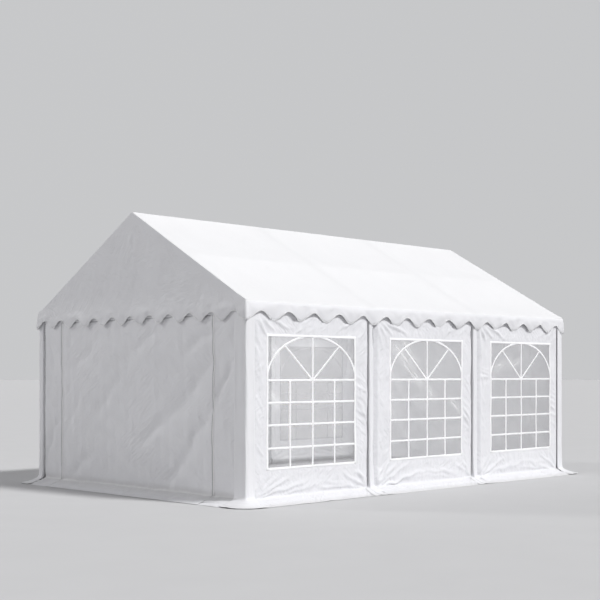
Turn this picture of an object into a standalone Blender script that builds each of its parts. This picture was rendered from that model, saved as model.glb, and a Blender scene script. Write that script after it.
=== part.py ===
"""Marquee tent of four by six metres: a frame of galvanised tubes, a white roof cover
with a wavy valance, side walls with arched windows, and a zipped door in each gable.

X runs across the tent, Y along its ridge and Z up from the ground."""

import math

import bmesh
import bpy
from mathutils import Matrix, Vector

# The whole tent, in metres
WIDTH = 4.0
BAY = 2.0
BAYS = 3
EAVE = 2.185  # top of the roof cover at its eaves
RIDGE = 3.305  # top of the roof cover at its ridge

# Cloth and film, and how pieces lie on each other
CLOTH = 0.0006
FILM = 0.0005
TOUCH = 0.0003
VALANCE_GAP = 0.001  # between the valance and the wall that hangs behind it

# Valance, measured down from the eave
VALANCE_CREST = 0.115
VALANCE_TIP = 0.215
SIDE_WAVES = 15
GABLE_WAVES = 11
WAVE_STEPS = 8

# Walls with their ground flaps
FOLD = 0.07  # height at which a wall turns outward
FLAP = 0.22  # how far the flap reaches over the ground

# Windows in the side walls, and the door in each gable wall
WINDOW_SIDE = 0.31  # from a bay's end to its window
WINDOW_SILL = 0.38
WINDOW_DROP = 0.365  # from the eave down to the window
FILM_LAP = 0.015  # how far the film reaches behind the wall
DOOR_SIDE = 0.535  # from the tent's corner to the door's zip
DOOR_HEAD = 0.14  # strip of wall left over the door

# Tubes, their sockets and the foot plates
TUBE = 0.038
TUBE_WALL = 0.0012
TUBE_SIDES = 16
SOCKET_WALL = 0.002
SOCKET_FLOOR = 0.03  # from the middle of a joint to the bottom of its sockets
SOCKET_END = 0.12
WELD_STEP = 0.0005  # each branch is this much slimmer than the sleeve that it is welded to
TIE_DROP = 0.075  # from the eave tubes down to the tie bar
PLATE = 0.1
PLATE_THICK = 0.004

# What follows from the sizes above
LENGTH = BAY * BAYS
PITCH = math.atan2(RIDGE - EAVE, WIDTH / 2)
TUBE_RADIUS = TUBE / 2
BORE_RADIUS = TUBE_RADIUS + TOUCH
SOCKET_RADIUS = BORE_RADIUS + SOCKET_WALL
WALL_IN = VALANCE_GAP + CLOTH  # from the tent's outer face to a wall's outer face
FRAME_IN = WALL_IN + CLOTH + TOUCH + SOCKET_RADIUS  # and to the tubes' centre lines
FRAME_X = WIDTH / 2 - FRAME_IN
FRAME_Y = LENGTH / 2 - FRAME_IN
FRAME_UNDER = (CLOTH + TOUCH + SOCKET_RADIUS) / math.cos(PITCH)  # straight down


def cover_height(x):
    """Height of the roof cover's top over a place across the tent."""
    return RIDGE - abs(x) * math.tan(PITCH)


def frame_height(x):
    """Height of the rafters' centre line over a place across the tent."""
    return cover_height(x) - FRAME_UNDER


FRAME_EAVE = frame_height(FRAME_X)
WALL_TOP = FRAME_EAVE
WALL_FOOT = CLOTH  # top of a flap at its outer edge


def wave_height(run, wave):
    """Height of the valance's edge at a run from the tent's corner."""
    middle = EAVE - (VALANCE_CREST + VALANCE_TIP) / 2
    swing = (VALANCE_TIP - VALANCE_CREST) / 2
    return middle - swing * math.cos(math.tau * run / wave)


def wave_runs(length, waves, margin):
    """Places along a wavy edge, which stops short of both corners by the margin."""
    count = waves * WAVE_STEPS
    inner = [length * i / count for i in range(1, count)]
    return [margin] + [r for r in inner if margin < r < length - margin] + [length - margin]


def truss_lines():
    """Places of the trusses along the tent, from its front gable to its back one."""
    inner = [BAY * i - LENGTH / 2 for i in range(1, BAYS)]
    return [-FRAME_Y] + inner + [FRAME_Y]


# Materials


def material(name, colour, roughness, metallic=0.0, alpha=1.0):
    made = bpy.data.materials.new(name)
    made.use_nodes = True
    surface = made.node_tree.nodes["Principled BSDF"]
    surface.inputs["Base Color"].default_value = (*colour, 1.0)
    surface.inputs["Roughness"].default_value = roughness
    surface.inputs["Metallic"].default_value = metallic
    surface.inputs["Alpha"].default_value = alpha
    made.diffuse_color = (*colour, alpha)
    return made


# Objects


def add_object(name, mesh, surface, matrix=None):
    made = bpy.data.objects.new(name, mesh)
    bpy.context.scene.collection.objects.link(made)
    if matrix:
        made.matrix_world = matrix
    mesh.materials.append(surface)
    return made


def along(start, end):
    """Matrix whose Z axis runs from start to end, with the same facets either way.

    An upright piece is turned by half a facet, so that its edges meet no other piece's."""
    axis = (end - start).normalized()
    half_facet = math.pi / TUBE_SIDES
    if abs(axis.y) > 0.5:
        side = Vector((1, 0, 0))
    elif abs(axis.z) > 0.9:
        side = Vector((math.cos(half_facet), math.sin(half_facet), 0))
    else:
        side = Vector((0, 1, 0))
    turned = Matrix((side, axis.cross(side), axis)).transposed()
    return Matrix.Translation(start) @ turned.to_4x4()


def round_mesh(name, fill):
    """Mesh of a round piece, smooth but for its ends."""
    shape = bmesh.new()
    fill(shape)
    bmesh.ops.recalc_face_normals(shape, faces=shape.faces)
    mesh = bpy.data.meshes.new(name)
    shape.to_mesh(mesh)
    shape.free()
    mesh.shade_smooth()
    mesh.set_sharp_from_angle(angle=math.radians(40))
    return mesh


def solid_rod(name, start, end, radius, surface):
    """Solid bar from start to end."""
    length = (end - start).length

    def fill(shape):
        bmesh.ops.create_cone(
            shape, cap_ends=True, segments=TUBE_SIDES, radius1=radius, radius2=radius,
            depth=length, matrix=Matrix.Translation((0, 0, length / 2)),
        )

    return add_object(name, round_mesh(name, fill), surface, along(start, end))


def open_tube(name, start, end, surface):
    """Tube from start to end, open at both."""
    length = (end - start).length
    bore = TUBE_RADIUS - TUBE_WALL

    def fill(shape):
        rings = []
        for radius, height in ((TUBE_RADIUS, 0), (TUBE_RADIUS, length), (bore, length), (bore, 0)):
            turns = [math.tau * k / TUBE_SIDES for k in range(TUBE_SIDES)]
            rings.append([
                shape.verts.new((radius * math.cos(t), radius * math.sin(t), height))
                for t in turns
            ])
        for here, after in zip(rings, rings[1:] + rings[:1]):
            for k in range(TUBE_SIDES):
                n = (k + 1) % TUBE_SIDES
                shape.faces.new((here[k], here[n], after[n], after[k]))

    return add_object(name, round_mesh(name, fill), surface, along(start, end))


def hide_helper(helper):
    helper.hide_render = True
    helper.display_type = "WIRE"


def combine(target, helper, operation):
    """Adds a helper's shape to the target, or cuts it out."""
    hide_helper(helper)
    step = target.modifiers.new(helper.name, "BOOLEAN")
    step.operation = operation
    step.solver = "MANIFOLD"
    step.object = helper


def sheet(name, faces, thickness, surface):
    """Cloth of even thickness behind an outer face made of flat polygons."""
    shape = bmesh.new()
    corners = {}
    for face in faces:
        loop = []
        for point in face:
            key = tuple(round(c, 7) for c in point)
            if key not in corners:
                corners[key] = shape.verts.new(point)
            loop.append(corners[key])
        shape.faces.new(loop)
    mesh = bpy.data.meshes.new(name)
    shape.to_mesh(mesh)
    shape.free()
    made = add_object(name, mesh, surface)
    thick = made.modifiers.new("Thickness", "SOLIDIFY")
    thick.thickness = thickness
    thick.offset = -1
    thick.use_even_offset = True
    return made


def grid_faces(columns, rows, place, leave_out=()):
    """Quads between columns and rows, each corner put in place by a function."""
    faces = []
    for c in range(len(columns) - 1):
        for r in range(len(rows) - 1):
            if (c, r) in leave_out:
                continue
            corners = ((c, r), (c + 1, r), (c + 1, r + 1), (c, r + 1))
            faces.append([place(columns[i], rows[j]) for i, j in corners])
    return faces


def facing(faces, outward):
    """The same polygons, turned so that the first one faces outward."""
    first = [Vector(point) for point in faces[0]]
    normal = Vector((0, 0, 0))
    for here, after in zip(first, first[1:] + first[:1]):
        normal += here.cross(after)
    return faces if normal.dot(Vector(outward)) > 0 else [face[::-1] for face in faces]


# Frame


def build_truss(name, y, ends, surface):
    """Two rafters with the sockets welded to them, and a tie's sockets in a gable."""
    ridge = Vector((0, y, frame_height(0)))
    adds, bores = [], []

    def sleeve(start, end, radius):
        adds.append(solid_rod(f"{name}_sleeve_{len(adds)}", start, end, radius, surface))

    def bore(middle, direction):
        start = middle + direction * SOCKET_FLOOR
        end = middle + direction * (SOCKET_END + SOCKET_FLOOR)
        bores.append(solid_rod(f"{name}_bore_{len(bores)}", start, end, BORE_RADIUS, surface))

    def joint_along(middle):
        """Sockets along the tent, to one side of a gable's truss and to both of a middle one."""
        reach = [SOCKET_END if end in ends else SOCKET_RADIUS for end in (-1, 1)]
        start = middle - Vector((0, reach[0], 0))
        sleeve(start, middle + Vector((0, reach[1], 0)), SOCKET_RADIUS)
        for end in ends:
            bore(middle, Vector((0, end, 0)))

    joint_along(ridge)
    apart = TUBE_RADIUS * math.tan(PITCH) + WELD_STEP
    for side in (-1, 1):
        eave = Vector((side * FRAME_X, y, FRAME_EAVE))
        slope = (eave - ridge).normalized()
        sleeve(ridge + slope * apart, eave, TUBE_RADIUS)
        joint_along(eave)
        joint_along((eave + ridge) / 2)
        down = Vector((0, 0, -1))
        sleeve(eave, eave + down * SOCKET_END, SOCKET_RADIUS - WELD_STEP)
        bore(eave, down)
        if len(ends) == 1:
            tie = eave + down * TIE_DROP
            inward = Vector((-side, 0, 0))
            sleeve(tie, tie + inward * SOCKET_END, SOCKET_RADIUS - 2 * WELD_STEP)
            bore(tie, inward)

    truss = adds[0]
    truss.name = name
    for helper in adds[1:]:
        combine(truss, helper, "UNION")
    for helper in bores:
        combine(truss, helper, "DIFFERENCE")


def build_leg(name, side, y, surface):
    """Tube that stands on a foot plate and ends in the eave's socket."""
    middle = Vector((side * FRAME_X, y, 0))
    top = middle + Vector((0, 0, FRAME_EAVE - SOCKET_FLOOR - TOUCH))
    leg = open_tube(name, middle + Vector((0, 0, PLATE_THICK / 2)), top, surface)
    shape = bmesh.new()
    bmesh.ops.create_cube(shape, size=1, matrix=Matrix.Diagonal((PLATE, PLATE, PLATE_THICK, 1)))
    mesh = bpy.data.meshes.new(f"{name}_plate")
    shape.to_mesh(mesh)
    shape.free()
    lift = Matrix.Translation(middle + Vector((0, 0, PLATE_THICK / 2)))
    combine(leg, add_object(f"{name}_plate", mesh, surface, lift), "UNION")


def build_long_tubes(surface):
    """Ridge, purlins and eaves, one tube from each truss to the next."""
    stop = SOCKET_FLOOR + TOUCH
    lines = truss_lines()
    places = [("ridge_tube", 0.0)]
    for label, side in (("left", -1), ("right", 1)):
        places.append((f"purlin_{label}", side * FRAME_X / 2))
        places.append((f"eave_tube_{label}", side * FRAME_X))
    for name, x in places:
        for i in range(BAYS):
            start = Vector((x, lines[i] + stop, frame_height(x)))
            end = Vector((x, lines[i + 1] - stop, frame_height(x)))
            open_tube(f"{name}_{i + 1}", start, end, surface)


def build_tie(name, y, surface):
    """Bar across a gable, under the eaves."""
    reach = FRAME_X - SOCKET_FLOOR - TOUCH
    height = FRAME_EAVE - TIE_DROP
    open_tube(name, Vector((-reach, y, height)), Vector((reach, y, height)), surface)


# Roof cover


def build_slope(name, side, surface):
    """One half of the roof, from the ridge seam to the eave."""
    seam = TOUCH / 2 + CLOTH * math.sin(PITCH)
    columns = [side * seam, side * WIDTH / 2]
    rows = [-LENGTH / 2, LENGTH / 2]
    faces = grid_faces(columns, rows, lambda x, y: (x, y, cover_height(x)))
    sheet(name, facing(faces, (0, 0, 1)), CLOTH, surface)


def build_side_valance(name, side, surface):
    """Strip that hangs from an eave and ends in waves."""
    top = EAVE - CLOTH * math.cos(PITCH) - TOUCH
    x = side * WIDTH / 2
    edge = []
    for run in wave_runs(LENGTH, SIDE_WAVES, 0):
        edge.append((x, run - LENGTH / 2, wave_height(run, LENGTH / SIDE_WAVES)))
    face = edge + [(x, LENGTH / 2, top), (x, -LENGTH / 2, top)]
    sheet(name, facing([face], (side, 0, 0)), CLOTH, surface)


def build_gable(name, end, surface):
    """Triangle under the roof's end, in one piece with its wavy valance."""
    margin = CLOTH + TOUCH
    under = margin / math.cos(PITCH)
    y = end * LENGTH / 2
    edge = []
    for run in wave_runs(WIDTH, GABLE_WAVES, margin):
        edge.append((run - WIDTH / 2, y, wave_height(run, WIDTH / GABLE_WAVES)))
    half = WIDTH / 2 - margin
    shoulder = cover_height(half) - under
    face = edge + [(half, y, shoulder), (0, y, cover_height(0) - under), (-half, y, shoulder)]
    sheet(name, facing([face], (0, end, 0)), CLOTH, surface)


# Walls


def wall_rows(*heights):
    """Rows of a wall from its flap's edge up, each as (outward, height)."""
    return [(FLAP, WALL_FOOT), (0, FOLD)] + [(0, height) for height in heights]


def build_side_wall(name, side, bay, cloth, film):
    """Wall of one bay with its ground flap, and the clear film in its window."""
    face = WIDTH / 2 - WALL_IN
    inside = FRAME_Y + SOCKET_RADIUS
    starts = [max(-inside, BAY * i - LENGTH / 2 + TOUCH / 2) for i in range(BAYS)]
    stops = [min(inside, BAY * i - LENGTH / 2 - TOUCH / 2) for i in range(1, BAYS + 1)]
    window = [BAY * bay - LENGTH / 2 + WINDOW_SIDE, BAY * (bay + 1) - LENGTH / 2 - WINDOW_SIDE]
    head = EAVE - WINDOW_DROP
    columns = [starts[bay], *window, stops[bay]]

    def place(y, row):
        return (side * (face + row[0]), y, row[1])

    rows = wall_rows(WINDOW_SILL, head, WALL_TOP)
    faces = grid_faces(columns, rows, place, leave_out=((1, 2),))
    sheet(name, facing(faces[1:] + faces[:1], (side, 0, 0)), CLOTH, cloth)

    back = side * (face - CLOTH - TOUCH)
    columns = [window[0] - FILM_LAP, window[1] + FILM_LAP]
    rows = [WINDOW_SILL - FILM_LAP, head + FILM_LAP]
    faces = grid_faces(columns, rows, lambda y, z: (back, y, z))
    film_name = name.replace("side_wall", "window_film")
    sheet(film_name, facing(faces, (side, 0, 0)), FILM, film)


def build_gable_wall(label, end, surface):
    """Wall across a gable with a doorway, and the door zipped into it."""
    face = LENGTH / 2 - WALL_IN
    half = WIDTH / 2 - WALL_IN
    door = WIDTH / 2 - DOOR_SIDE
    head = WALL_TOP - DOOR_HEAD

    def place(x, row):
        return (x, end * (face + row[0]), row[1])

    rows = wall_rows(head, WALL_TOP)
    doorway = ((1, 0), (1, 1))
    faces = grid_faces([-half, -door, door, half], rows, place, leave_out=doorway)
    sheet(f"gable_wall_{label}", facing(faces[1:] + faces[:1], (0, end, 0)), CLOTH, surface)

    rows = wall_rows(head - TOUCH)
    faces = grid_faces([TOUCH - door, door - TOUCH], rows, place)
    sheet(f"gable_door_{label}", facing(faces[::-1], (0, end, 0)), CLOTH, surface)


def main():
    for old in list(bpy.data.objects):
        bpy.data.objects.remove(old)

    steel = material("galvanised_steel", (0.62, 0.63, 0.64), 0.42, metallic=0.9)
    roof = material("roof_cloth", (0.93, 0.93, 0.94), 0.45)
    wall = material("wall_cloth", (0.86, 0.87, 0.88), 0.5)
    clear = material("clear_film", (0.82, 0.84, 0.84), 0.12, alpha=0.3)

    lines = truss_lines()
    names = ["front", *(str(i) for i in range(2, len(lines))), "back"]
    for i, (name, y) in enumerate(zip(names, lines)):
        ends = {0: (1,), len(lines) - 1: (-1,)}.get(i, (-1, 1))
        build_truss(f"roof_truss_{name}", y, ends, steel)
        build_leg(f"leg_left_{name}", -1, y, steel)
        build_leg(f"leg_right_{name}", 1, y, steel)
    build_long_tubes(steel)

    for label, side in (("left", -1), ("right", 1)):
        build_slope(f"roof_slope_{label}", side, roof)
        build_side_valance(f"side_valance_{label}", side, roof)
        for bay in range(BAYS):
            build_side_wall(f"side_wall_{label}_{bay + 1}", side, bay, wall, clear)
    for label, end in (("front", -1), ("back", 1)):
        build_tie(f"tie_bar_{label}", end * FRAME_Y, steel)
        build_gable(f"roof_gable_{label}", end, roof)
        build_gable_wall(label, end, wall)


main()
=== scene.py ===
# %% [markdown]
# # A white marquee tent, dressed over its steel frame
# The CAD model gives the tubes at their true places, and flat sheets where cloth hangs.
# Here the tubes get their zinc finish, and every sheet is replaced by cloth with its sag,
# folds and hems. Cloth could be simulated, or modelled by hand. Each shape here is worked
# out as whole arrays of places instead, which is quick, gives the same result each time
# and is easy to change.

import math

import bmesh
import bpy
import numpy as np
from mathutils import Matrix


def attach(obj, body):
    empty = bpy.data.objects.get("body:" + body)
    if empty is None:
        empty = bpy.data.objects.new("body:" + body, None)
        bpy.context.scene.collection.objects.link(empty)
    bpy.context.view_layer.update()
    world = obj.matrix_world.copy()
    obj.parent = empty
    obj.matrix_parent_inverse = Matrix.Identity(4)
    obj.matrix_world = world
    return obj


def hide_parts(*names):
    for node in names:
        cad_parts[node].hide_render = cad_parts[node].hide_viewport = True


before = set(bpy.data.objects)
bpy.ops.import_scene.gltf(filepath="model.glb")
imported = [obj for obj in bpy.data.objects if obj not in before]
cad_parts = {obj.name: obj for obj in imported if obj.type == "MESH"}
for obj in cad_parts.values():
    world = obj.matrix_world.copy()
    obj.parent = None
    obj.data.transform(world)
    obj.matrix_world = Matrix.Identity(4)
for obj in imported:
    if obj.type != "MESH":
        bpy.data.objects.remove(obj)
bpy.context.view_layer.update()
print("nodes", len(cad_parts))

# %% [markdown]
# ## The camera
# The view is taken from a little below head height, sixteen metres off, on the line that
# halves the near corner. A camera could be tilted up to frame the roof. This one looks
# level and its lens is shifted instead, so upright edges stay upright in the picture.

# %% Camera
CAMERA_PLACE = (11.275, -11.312, 1.40)
CAMERA_TURN = 44.7
LEVEL = 90


def added(name, data):
    """A new object in the scene, from a mesh, a camera or a lamp."""
    thing = bpy.data.objects.new(name, data)
    bpy.context.scene.collection.objects.link(thing)
    return thing


camera_data = bpy.data.cameras.new("view_camera")
camera_data.lens = 70.82
camera_data.shift_x = -0.0278
camera_data.shift_y = 0.1237
camera_data.clip_end = 1000
camera = added("view_camera", camera_data)
camera.location = CAMERA_PLACE
camera.rotation_euler = (math.radians(LEVEL), 0, math.radians(CAMERA_TURN))
bpy.context.scene.camera = camera
print("camera at", CAMERA_PLACE)

# %% [markdown]
# ## Sizes that the cloth shares with the frame
# These lengths are the same as in the CAD source, in metres: half the tent's width and
# length, the eave and the ridge, how far the walls hang inside the cover, the height
# where a wall turns outward to its ground flap, the flap's reach, the wave of the
# valance's edge, and the places of the trusses along the tent. A number that several
# pieces use gets a name once, so that they can't drift apart.

# %% Sizes
HALF_WIDTH = 2.0
HALF_LENGTH = 3.0
EAVE = 2.185
RIDGE = 3.305
SLOPE = (RIDGE - EAVE) / HALF_WIDTH
PITCH = math.atan(SLOPE)
WALL_IN = 0.0016
WALL_TOP = 2.165
FOLD = 0.07
FLAP = 0.22
VALANCE_MIDDLE = EAVE - 0.158
VALANCE_SWING = 0.05
SIDE_WAVES = 15
GABLE_WAVES = 11
TRUSSES = np.array([-2.976, -1.0, 1.0, 2.976])
print("pitch in degrees", round(math.degrees(PITCH), 2))

# %% [markdown]
# ## Grids made into pieces
# Every cloth piece is a grid of places with a flat pattern beside it: how far a point
# lies along and down the cut cloth, in metres. The flat pattern becomes the UV map, so
# that weave and stitching follow the cloth. A UV map could be unwrapped afterwards, but
# one that is worked out with the shape has no stretch and no seams to place. Rows run
# down and columns run to the right when they are seen from outside, which makes every
# face point outwards.


# %% Grid helper
def grid_mesh(name, grids, weld=0.0):
    """A mesh of one or more grids, each given as places, flat places and kept cells."""
    places, faces, flats = [], [], []
    first = 0
    for place, flat, keep in grids:
        rows, columns = place.shape[:2]
        count = np.arange(rows * columns).reshape(rows, columns) + first
        cells = np.stack([count[:-1, :-1], count[1:, :-1], count[1:, 1:], count[:-1, 1:]], -1)
        faces.append(cells[keep].reshape(-1, 4))
        places.append(place.reshape(-1, 3))
        flats.append(flat.reshape(-1, 2))
        first += rows * columns
    faces = np.concatenate(faces)
    used, index = np.unique(faces, return_inverse=True)
    mesh = bpy.data.meshes.new(name)
    mesh.from_pydata(np.concatenate(places)[used], [], index.reshape(-1, 4))
    layer = mesh.uv_layers.new(name="cloth")
    layer.data.foreach_set("uv", np.concatenate(flats)[faces.ravel()].astype(np.float32).ravel())
    if weld:
        shape = bmesh.new()
        shape.from_mesh(mesh)
        bmesh.ops.remove_doubles(shape, verts=shape.verts, dist=weld)
        shape.to_mesh(mesh)
        shape.free()
    mesh.shade_smooth()
    return mesh


def all_cells(place):
    """A mask that keeps every cell of a grid."""
    return np.ones((place.shape[0] - 1, place.shape[1] - 1), bool)


def piece_of(mesh, material, thickness=0.0):
    """An object for a mesh, with its material, its thickness, which grows inwards, and the
    body that it rides on."""
    piece = added(mesh.name, mesh)
    mesh.materials.append(material)
    if thickness:
        solid = piece.modifiers.new("thickness", "SOLIDIFY")
        solid.thickness = thickness
        solid.offset = -1
    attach(piece, "root")
    return piece


# %% [markdown]
# ## Shader sums written as Python
# A material could be drawn as a web of nodes by hand, but it is easier to read and to
# change as a formula. This small class wraps one socket, and its operators add the Math
# nodes. Every other node comes from its `make` method.


# %% Shader helper
class Shade:
    """One socket of a material. Arithmetic on it adds Math nodes."""

    def __init__(self, tree, socket=None):
        self.tree = tree
        self.socket = socket

    def make(self, kind, inputs=(), output=0, **settings):
        """Add a node, set it up, then fill its sockets with values or links."""
        node = self.tree.nodes.new("ShaderNode" + kind)
        for name, value in settings.items():
            setattr(node, name, value)
        for name, value in dict(inputs).items():
            if isinstance(value, Shade):
                self.tree.links.new(value.socket, node.inputs[name])
            else:
                node.inputs[name].default_value = value
        return Shade(self.tree, node.outputs[output])

    def math(self, operation, *values):
        """One Math node of this operation."""
        return self.make("Math", enumerate(values), operation=operation)

    def __add__(self, other):
        return self.math("ADD", self, other)

    def __sub__(self, other):
        return self.math("SUBTRACT", self, other)

    def __rsub__(self, other):
        return self.math("SUBTRACT", other, self)

    def __mul__(self, other):
        return self.math("MULTIPLY", self, other)

    __radd__ = __add__
    __rmul__ = __mul__

    def axis(self, number):
        """One part of a vector: 0 for x, 1 for y and 2 for z."""
        return self.make("SeparateXYZ", {"Vector": self}, output=number)

    def between(self, low, high):
        """0 below the low value, 1 above the high one, and a straight rise between them."""
        sockets = {"Value": self, "From Min": low, "From Max": high}
        return self.make("MapRange", sockets, clamp=True)

    def noise(self, vector, scale, detail=2.0, distortion=0.0):
        """Smooth noise around one half, with this many bumps in a metre."""
        sockets = {"Vector": vector, "Scale": scale, "Detail": detail, "Distortion": distortion}
        return self.make("TexNoise", sockets)

    def mix(self, factor, first, second):
        """A colour between two colours. The numbers are the places of a Mix node's factor,
        its two colours and its colour result among its sockets."""
        sockets = {0: factor, 6: first, 7: second}
        return self.make("Mix", sockets, output=2, data_type="RGBA")

    def bump(self, height, distance, strength=1.0, normal=None):
        """A bump of a height from 0 to 1, which stands this distance proud in metres."""
        sockets = {"Height": height, "Distance": distance, "Strength": strength}
        if normal is not None:
            sockets["Normal"] = normal
        return self.make("Bump", sockets)


def start_material(name, **fixed):
    """A new material, a place to write its shader sums, and a way to fill its shader."""
    material = bpy.data.materials.new(name)
    material.use_nodes = True
    surface = material.node_tree.nodes["Principled BSDF"]
    for socket, value in fixed.items():
        surface.inputs[socket.replace("_", " ")].default_value = value
    return material, Shade(material.node_tree), surface


def feed(surface, name, shade):
    """Join a varying shade to one of the shader's sockets."""
    shade.tree.links.new(shade.socket, surface.inputs[name])


# %% [markdown]
# ## Coated cloth
# The roof and walls are woven sheet with a smooth coating on both faces: white, half
# glossy, and never quite flat. The large folds are in the meshes. Four finer layers of
# relief are left to the material: a soft unevenness, long fine folds in three
# directions, narrow ridges left from packing, and the square weave that shows through
# the coating. A scan of real cloth could give them, but sums of noise need no image and
# never repeat. Shade is painted into the colour in three places: a faint patchy band of
# painted shade over the fold near the ground, a little painted shade on the ground flap,
# and a slope painted a little darker where it lies on a rafter, as the tube's shade.


# %% Cloth materials
FALLING = 42
RISING = -38
UPRIGHT = 84
RIDGE_STRETCH = 2.5
THREAD = 0.003


def drawn_out(flat, turn, stretch):
    """The flat pattern, turned by an angle in degrees and stretched along it."""
    sockets = {
        "Vector": flat,
        "Rotation": (0, 0, math.radians(turn)),
        "Scale": (stretch, 1.0, 1.0),
    }
    return flat.make("Mapping", sockets, vector_type="TEXTURE")


def strokes(flat, scale, turn, stretch):
    """Long fine folds: noise drawn out along a direction of the flat pattern."""
    return flat.noise(drawn_out(flat, turn, stretch), scale, 1.5, 0.4).between(0.32, 0.72)


def ridged(flat, scale, turn, sharp):
    """Narrow ridges: one minus the drawn-out noise's distance from its middle."""
    noise = flat.noise(drawn_out(flat, turn, RIDGE_STRETCH), scale, 2.0, 0.9)
    return flat.math("MAXIMUM", 1 - flat.math("ABSOLUTE", noise * 2 - 1) * sharp, 0.0)


def tinted(colour, share):
    """A colour times a share, or times a share for each of its parts, with full alpha."""
    return tuple(np.array(colour) * share) + (1,)


def woven(flat):
    """The square weave: a wave along the cloth times a wave down it."""
    along = flat.math("SINE", flat.axis(0) * (math.tau / THREAD))
    down = flat.math("SINE", flat.axis(1) * (math.tau / THREAD))
    return along * down


def painted_foot_shade(at, fold_shade, flap_shade):
    """Painted shade from 0 to 1: a patchy band of it above the fold at the wall's foot, and
    an even darkening on the ground flap."""
    height = at.axis(2)
    band = (1 - height.between(0.085, 0.16)) * height.between(0.02, 0.075)
    patchy = band * (at.noise(at, 14.0, 4.0) * 0.6 + 0.4) * fold_shade
    on_flap = (1 - height.between(0.008, 0.03)) * flap_shade
    return at.math("MAXIMUM", patchy, on_flap)


def rafter_shade_mask(at):
    """1 over the rafters of the two middle trusses, and 0 past a hand's width from them. Where
    it is 1, the slope's colour is painted darker as shade.
    """
    from_middle = at.math("ABSOLUTE", at.axis(1))
    away = at.math("ABSOLUTE", from_middle - float(TRUSSES[2]))
    return 1 - away.between(0.01, 0.14)


# The tint of the painted shade over the fold at a wall's foot and on its ground flap.
FOOT_SHADE_TINT = (0.74, 0.735, 0.70)
WORN = 0.97
BROAD_SHARE = 2.5
CRUMPLE_SHARE = 0.4
WEAVE_DEPTH = 0.00006


def coated_cloth(name, colour, crinkle, fold_shade=0.0, flap_shade=0.0, rafter_shade=0.0):
    """White coated cloth, with the depth of its crinkles in metres, the painted shade over the
    fold at its foot and on its ground flap from 0 to 1, and how much darker its colour is
    painted, as shade, where it lies on a rafter."""
    material, shade, surface = start_material(name)
    at = shade.make("TexCoord", output=3)
    flat = shade.make("UVMap", uv_map="cloth")
    broad = shade.noise(at, 2.2, 3.0, 0.6)
    fine = shade.noise(at, 10.0, 3.0, 1.2)
    choice = shade.noise(at, 1.6, 1.0).between(0.44, 0.56)
    calm = shade.noise(at, 3.1, 1.0).between(0.4, 0.62)
    rising = strokes(flat, 26.0, RISING, 4.5) * choice
    falling = strokes(flat, 28.0, FALLING, 4.5) * (1 - choice)
    upright = strokes(flat, 15.0, UPRIGHT, 5.0)
    folds = (rising + falling) * (calm * 0.75 + 0.25) + upright * 0.35
    crumple = ridged(flat, 12.0, RISING, 3.5) * fine.between(0.45, 0.65)
    normal = shade.bump(broad, crinkle * BROAD_SHARE)
    normal = shade.bump(folds, crinkle, 1.0, normal)
    normal = shade.bump(crumple, crinkle * CRUMPLE_SHARE, 1.0, normal)
    normal = shade.bump(woven(flat), WEAVE_DEPTH, 0.5, normal)
    feed(surface, "Normal", normal)
    wear_and_rafter_shade = shade.mix(broad.between(0.35, 0.65) * 0.5, tinted(colour, 1), tinted(colour, WORN))
    # Painted shade: a slope is darker over a rafter, as the tube behind the cloth shades it.
    if rafter_shade:
        wear_and_rafter_shade = shade.mix(rafter_shade_mask(at), wear_and_rafter_shade, tinted(colour, 1 - rafter_shade))
    # Painted shade: darker in a patchy band over the fold, and evenly on the ground flap.
    foot_shade_share = painted_foot_shade(at, fold_shade, flap_shade)
    feed(surface, "Base Color", shade.mix(foot_shade_share, wear_and_rafter_shade, tinted(colour, FOOT_SHADE_TINT)))
    feed(surface, "Roughness", fine.between(0.3, 0.7) * 0.12 + 0.44)
    return material


# %% Cloths of the tent
roof_cloth = coated_cloth("roof_cloth", (0.86, 0.86, 0.87), 0.0012, rafter_shade=0.035)
wall_cloth = coated_cloth("wall_cloth", (0.785, 0.785, 0.81), 0.0058, fold_shade=0.1, flap_shade=0.45)
gable_cloth = coated_cloth("gable_cloth", (0.78, 0.78, 0.80), 0.0036, fold_shade=0.6)
# The gable ends' cloth is painted greyer than the slopes' cloth, as shade.
shaded_end_cloth = coated_cloth("shaded_end_cloth", (0.75, 0.75, 0.77), 0.0034)
cover_cloth = coated_cloth("cover_cloth", (0.80, 0.80, 0.82), 0.0008, flap_shade=0.3)
print("cloths", [cloth.name for cloth in (roof_cloth, wall_cloth, gable_cloth, shaded_end_cloth, cover_cloth)])

# %% [markdown]
# ## Hems, window strips, zips and a black strip of painted shade
# A hem is cloth folded over and sewn, so it carries a row of stitches. The window's
# bars are white strips welded to the film: smoother and a little glossier than the
# cloth. A zip shows as a grey coil with a pale band beside it. The strip behind each slit
# is black and dull: painted shade, which makes the slit look like a deep shadow. All four
# are narrow strips, so one material function makes them. The stitches could be small
# meshes, but at under a millimetre a wave across the strip is enough.


# %% Trim materials
STITCH = 0.004
STRIP_SHADE_AND_TONE = 0.93


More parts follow.
